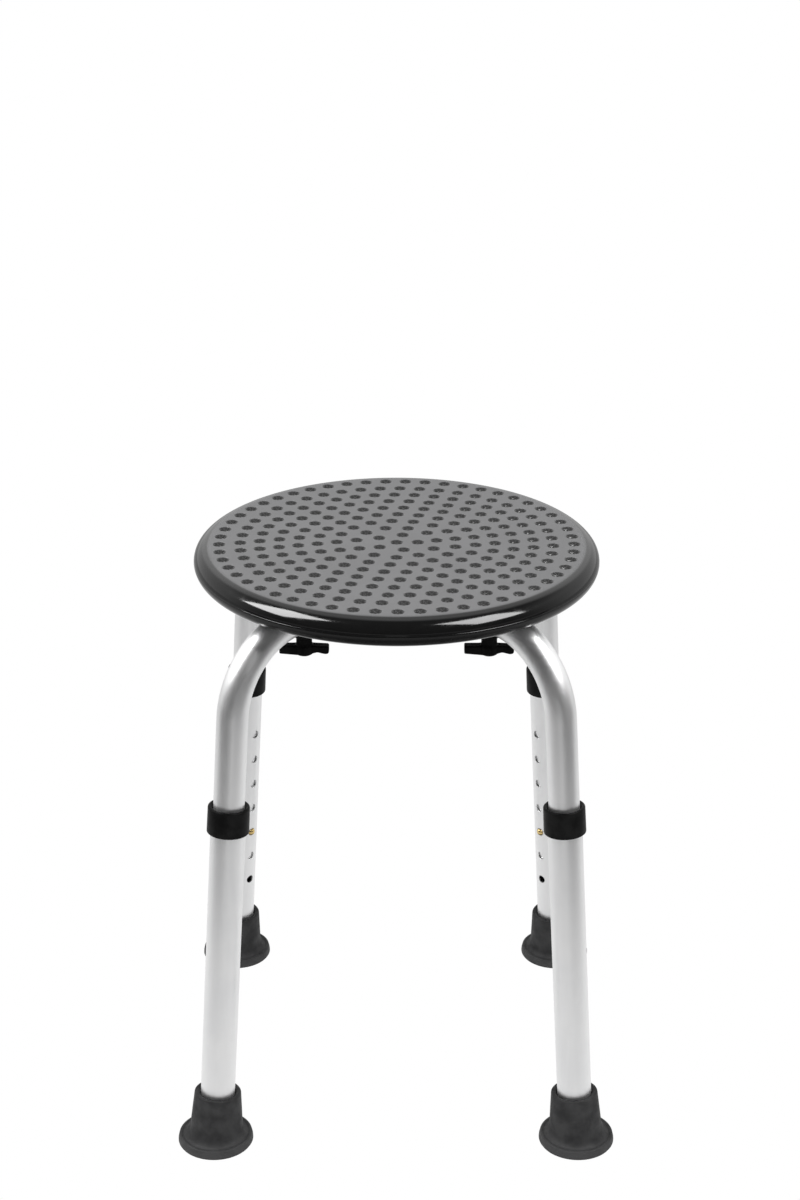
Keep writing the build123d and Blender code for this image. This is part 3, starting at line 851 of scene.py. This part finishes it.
# ---- Build every piece ------------------------------------------------------------------------
seat_black = seat_plastic()
collar_black = moulded_plastic("black_collar_plastic", 0.002, 0.005, 0.34, 0.46)
lever_black = moulded_plastic("black_lever_plastic", 0.001, 0.0025, 0.36, 0.5)
foot_rubber = rubber()
brass = plain_metal("bright_brass", (0.78, 0.56, 0.22), (0.86, 0.66, 0.32), 0.16, 0.28)
zinc = plain_metal("zinc_steel", (0.55, 0.56, 0.57), (0.66, 0.66, 0.66), 0.25, 0.4)
spring_steel = plain_metal("spring_steel", (0.4, 0.41, 0.43), (0.5, 0.5, 0.52), 0.25, 0.4)

seat = joined("seat_moulding", [seat_face(), seat_shell()] + seat_underside_parts(), 50)
crisp_dimples(seat)
finish_piece(seat, "stool_top", seat_black, "black_seat_plastic", "seat")
finish_piece(saddle_washers(), "stool_top", collar_black, "black_collar_plastic", "saddle_washers")

for place in PLACES:
    up = -Vector(joints[f"leg_height_{place}"]["axis"])
    metal = tube_metal(f"satin_aluminium_{place}", up)
    leg_body = f"leg_{place}"
    finish_piece(upper_tube(place), "stool_top", metal, "satin_aluminium", f"upper_leg_{place}")
    finish_piece(lower_tube(place), leg_body, metal, "satin_aluminium", f"lower_tube_{place}")
    finish_piece(collar(place), leg_body, collar_black, "black_collar_plastic", f"collar_{place}")
    finish_piece(foot(place), leg_body, foot_rubber, "grey_rubber", f"foot_{place}")
    finish_piece(snap_button(place), f"button_{place}", brass, "brass", f"snap_button_{place}")
    spring_strip(place)
    finish_piece(lever_nut(place), f"lever_{place}", lever_black, "black_lever_plastic", f"lever_nut_{place}")

kept = {"seat_studs": zinc, "foot_washer": zinc, "lever_insert": brass}
for name, node in nodes.items():
    for start, material in kept.items():
        if name.startswith(start):
            node.data.materials.clear()
            node.data.materials.append(material)


# ---- Floor, light and camera --------------------------------------------------------------------
def floor():
    """Pale floor that lights and is mirrored, but that the camera doesn't see.

    The camera sees the equally white studio in its place, so a leg that is drawn out below the floor
    still shows. Metal and plastic mirror the floor darker than white, most of all straight down: a painted
    shadow that stands in for the seat's shade on the floor beneath it. Near the stool the mirrored floor
    is brighter than far off, a painted pool of light.
    """
    size = 14
    mesh = bpy.data.meshes.new("studio_floor")
    corners = [(-size, -size, 0), (size, -size, 0), (size, size, 0), (-size, size, 0)]
    mesh.from_pydata(corners, [], [(0, 1, 2, 3)])
    obj = bpy.data.objects.new("studio_floor", mesh)
    scene.collection.objects.link(obj)
    obj.location.z = -0.05 * MM
    r = Recipe("pale_floor", Roughness=0.9)
    r.into("Base Color", r.colours(r.noise(3, 2), (0.8, 0.8, 0.8), (0.82, 0.82, 0.82)))
    r.shader.inputs["Emission Color"].default_value = (1, 1, 1, 1)
    r.shader.inputs["Emission Strength"].default_value = 0.62
    mirrored = r.node("ShaderNodeEmission")
    split = r.node("ShaderNodeSeparateXYZ")
    r.link(r.coords, split.inputs["Vector"])
    distance = r.math("POWER", r.math("ADD", r.math("MULTIPLY", split.outputs["X"], split.outputs["X"]),
                                      r.math("MULTIPLY", split.outputs["Y"], split.outputs["Y"])), 0.5)
    # Painted shadow: the mirrored floor drops to a fifth when seen straight down, for the seat's shade under
    # the stool.
    painted_shadow_straight_down = r.ramp(r.node("ShaderNodeLayerWeight").outputs["Facing"], 0.06, 0.42, 0.2, 1.0)
    # Painted pool of light: the mirrored floor is brighter near the stool than far off.
    far = r.ramp(distance, 0.3, 1.7, 0.84, 0.52)
    r.link(r.math("MULTIPLY", painted_shadow_straight_down, far), mirrored.inputs["Strength"])
    path = r.node("ShaderNodeLightPath")
    pick = r.node("ShaderNodeMixShader")
    r.link(path.outputs["Is Glossy Ray"], pick.inputs["Fac"])
    r.link(r.shader.outputs["BSDF"], pick.inputs[1])
    r.link(mirrored.outputs["Emission"], pick.inputs[2])
    one_sided = r.node("ShaderNodeMixShader")
    r.link(r.node("ShaderNodeNewGeometry").outputs["Backfacing"], one_sided.inputs["Fac"])
    r.link(pick.outputs["Shader"], one_sided.inputs[1])
    r.link(r.node("ShaderNodeBsdfTransparent").outputs["BSDF"], one_sided.inputs[2])
    output = next(n for n in r.tree.nodes if n.type == "OUTPUT_MATERIAL")
    r.link(one_sided.outputs["Shader"], output.inputs["Surface"])
    mesh.materials.append(r.material)
    obj.visible_camera = False


def black_card(name, x, y, width, height):
    """Upright black card that only reflections see: it draws the dark line down the front tubes."""
    mesh = bpy.data.meshes.new(name)
    along = Vector((-y, x, 0)).normalized() * width / 2
    foot = Vector((x, y, 0))
    tall = Vector((0, 0, height))
    mesh.from_pydata([foot - along, foot + along, foot + along + tall, foot - along + tall], [], [(0, 1, 2, 3)])
    obj = bpy.data.objects.new(name, mesh)
    scene.collection.objects.link(obj)
    r = Recipe(name, Roughness=1.0)
    r.into("Base Color", r.colours(r.noise(9, 2), (0.01, 0.01, 0.01), (0.02, 0.02, 0.02)))
    r.shader.inputs["Emission Color"].default_value = (1, 1, 1, 1)
    r.shader.inputs["Emission Strength"].default_value = 0.03
    mesh.materials.append(r.material)
    obj.visible_camera = obj.visible_diffuse = obj.visible_shadow = False


def soft_light(name, place, target, width, height, power, mirrored=True):
    """Area light of some watts, which only shows in reflections if mirrored."""
    data = bpy.data.lights.new(name, "AREA")
    data.shape = "RECTANGLE"
    data.size, data.size_y, data.energy = width, height, power
    obj = bpy.data.objects.new(name, data)
    scene.collection.objects.link(obj)
    obj.location = place
    obj.rotation_euler = (Vector(target) - Vector(place)).to_track_quat("-Z", "Y").to_euler()
    obj.visible_glossy = mirrored
    return obj


def world_light():
    """White studio behind and beside the stool, dark overhead and on the camera's side."""
    world = bpy.data.worlds.new("studio")
    scene.world = world
    world.use_nodes = True
    tree = world.node_tree
    background = next(n for n in tree.nodes if n.type == "BACKGROUND")

    def smooth(source, low, high, out_low, out_high):
        made = tree.nodes.new("ShaderNodeMapRange")
        made.interpolation_type = "SMOOTHSTEP"
        tree.links.new(source, made.inputs["Value"])
        for key, value in (("From Min", low), ("From Max", high), ("To Min", out_low), ("To Max", out_high)):
            made.inputs[key].default_value = value
        return made.outputs["Result"]

    split = tree.nodes.new("ShaderNodeSeparateXYZ")
    tree.links.new(tree.nodes.new("ShaderNodeTexCoord").outputs["Generated"], split.inputs["Vector"])
    behind = smooth(split.outputs["Y"], -0.5, 0.45, 0.03, 1.0)
    low = smooth(split.outputs["Z"], 0.5, 0.85, 1.0, 0.05)
    seen = tree.nodes.new("ShaderNodeMath")
    seen.operation = "MULTIPLY"
    tree.links.new(behind, seen.inputs[0])
    tree.links.new(low, seen.inputs[1])
    path = tree.nodes.new("ShaderNodeLightPath")
    pick = tree.nodes.new("ShaderNodeMix")
    tree.links.new(path.outputs["Is Glossy Ray"], pick.inputs["Factor"])
    pick.inputs["A"].default_value = 1.0
    tree.links.new(seen.outputs["Value"], pick.inputs["B"])
    tree.links.new(pick.outputs["Result"], background.inputs["Strength"])
    background.inputs["Color"].default_value = (1, 1, 1, 1)


LENS = 73.6                                        # mm, on a 36 mm wide sensor
CAMERA_PLACE = (-3.95 * MM, -1894.2 * MM, SEAT_TOP + 744.1 * MM)
HEADING, DROP, ROLL = 0.0036, 0.3979, 0.0023       # radians


def camera():
    """Seen from the front, a little above: lens and place match the product view."""
    data = bpy.data.cameras.new("camera")
    obj = bpy.data.objects.new("camera", data)
    scene.collection.objects.link(obj)
    data.sensor_width = 36
    data.lens = LENS
    data.clip_end = 60
    look = Vector((sin(HEADING) * cos(DROP), cos(HEADING) * cos(DROP), -sin(DROP)))
    aim = look.to_track_quat("-Z", "Y").to_matrix().to_4x4()
    obj.matrix_world = Matrix.Translation(CAMERA_PLACE) @ aim @ Matrix.Rotation(ROLL, 4, "Z")
    scene.camera = obj


# Side, name, the softbox's X and Y, and the watts of the softbox and of the fill light.
LIGHT_SIDES = ((-1, "left", 1.35, -0.2, 95, 21), (1, "right", 1.15, -0.65, 80, 12))
# Who each softbox lights, its share of the watts and its height over the seat. The seat's own is 3 cm
# lower, because lights at exactly the same place hide each other from reflections.
SOFTBOXES = (("all", 0.35, 1.4), ("seat", 0.75, 1.37))

floor()
world_light()
seat_only = bpy.data.collections.new("seat_only")
seat_only.objects.link(seat)
for side, name, box_x, box_y, power, fill in LIGHT_SIDES:
    black_card(f"{name}_card", side * 0.6, -0.6, 1.4, 0.36)
    for who, share, height in SOFTBOXES:
        box = soft_light(f"{name}_softbox_{who}", (side * box_x, box_y, SEAT_TOP + height), (0, 0, SEAT_TOP),
                         1.0, 1.2, power * share)
        if who == "seat":
            box.light_linking.receiver_collection = seat_only
    soft_light(f"{name}_fill", (side * 1.6, -1.5, 1.4), (0, 0, 0.3), 0.8, 1.2, fill, mirrored=False)
camera()
scene.view_settings.view_transform = "Standard"
